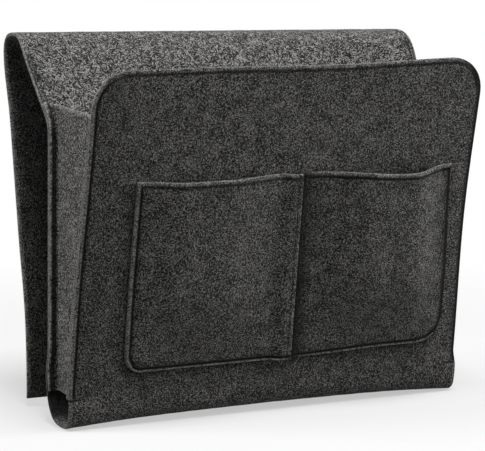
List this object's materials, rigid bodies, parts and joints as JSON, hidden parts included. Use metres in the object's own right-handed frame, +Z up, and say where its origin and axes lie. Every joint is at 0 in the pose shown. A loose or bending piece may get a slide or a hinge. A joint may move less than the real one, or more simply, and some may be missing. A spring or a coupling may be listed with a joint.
{
  "type": "bedside caddy",
  "caption": "Felt caddy for the side of a bed: an open pouch with front pockets, gusseted sides with cable gaps, and a flap that goes under the mattress.",
  "frame": {"origin": "centre of the flat rear face of the back panel, which lies against the side of the bed", "axes": "+X along the bed, to the right as seen from the front; +Y into the bed, out of the rear face; +Z up"},
  "size_m": [0.326, 0.1785, 0.2827],
  "materials": {
    "felt": "needle felt, heathered charcoal, matt",
    "thread": "spun polyester sewing thread"
  },
  "bodies": {
    "pouch": {"front_panel": "felt", "bottom_fold": "felt", "back_panel": "felt", "top_fold": "felt", "rear_fold": "felt", "left_gusset": "felt", "right_gusset": "felt", "left_pocket": "felt", "right_pocket": "felt", "front_seam_thread": "thread", "left_bar_tack": "thread", "right_bar_tack": "thread", "left_back_seam_thread": "thread", "right_back_seam_thread": "thread", "left_slope_thread": "thread", "right_slope_thread": "thread", "left_pocket_seam_thread": "thread", "right_pocket_seam_thread": "thread", "left_pocket_hem_thread": "thread", "right_pocket_hem_thread": "thread"},
    "flap": {"mattress_flap": "felt"}
  },
  "joints": [
    {"name": "flap_swing", "type": "hinge", "parent": "pouch", "child": "flap", "pos_m": [0, 0.0815, 0.13555], "axis": [1, 0, 0], "range_deg": [-8, 100]}
  ]
}
